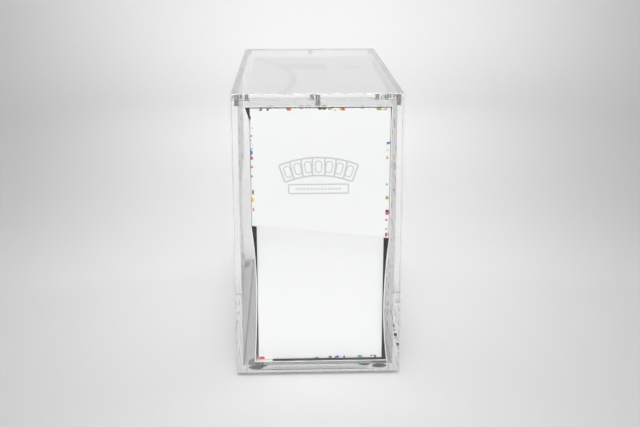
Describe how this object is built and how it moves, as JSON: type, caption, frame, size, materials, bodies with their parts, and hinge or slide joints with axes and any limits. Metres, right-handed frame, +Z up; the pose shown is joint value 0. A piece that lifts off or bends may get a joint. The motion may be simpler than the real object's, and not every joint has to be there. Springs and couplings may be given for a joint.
{
  "type": "card storage box in a display case",
  "caption": "Clear acrylic display case with a magnet-held lift-off lid, holding a sleeved paperboard card storage box with a telescoping lid, insert tray and dividers.",
  "frame": {"origin": "middle of the footprint, on the surface that the feet stand on", "axes": "+X across the narrow front to the right seen from the front, +Y from the front panel to the back panel, +Z up"},
  "size_m": [0.105, 0.206, 0.185],
  "materials": {
    "clear_acrylic": "clear, polished",
    "nickel_magnet": "nickel plated",
    "clear_bumper": "clear, soft",
    "sleeve_card": "printed, satin coated",
    "printed_paper": "white with a confetti print, matt coated",
    "grey_board": "uncoated",
    "insert_card": "white lined",
    "divider_card": "satin coated"
  },
  "bodies": {
    "case": {"base_panel": "clear_acrylic", "front_panel": "clear_acrylic", "back_panel": "clear_acrylic", "left_panel": "clear_acrylic", "right_panel": "clear_acrylic", "wall_magnets": "nickel_magnet", "bumper_feet": "clear_bumper"},
    "case_lid": {"lid_panel": "clear_acrylic", "lid_magnets": "nickel_magnet"},
    "card_box": {"slip_sleeve": "sleeve_card", "lid_wrap": "printed_paper", "lid_board": "grey_board", "base_wrap": "printed_paper", "base_board": "grey_board", "insert_tray": "insert_card", "divider_1": "divider_card", "divider_2": "divider_card", "divider_3": "divider_card", "divider_4": "divider_card"}
  },
  "joints": [
    {"name": "case_lid_lift", "type": "slide", "parent": "case", "child": "case_lid", "axis": [0, 0, 1], "range_m": [0, 0.21]},
    {"name": "card_box_lift", "type": "slide", "parent": "case", "child": "card_box", "axis": [0, 0, 1], "range_m": [0, 0.19]}
  ],
  "couplings": [
    {"joint": "card_box_lift", "follows": "case_lid_lift", "ratio": 0.9}
  ]
}
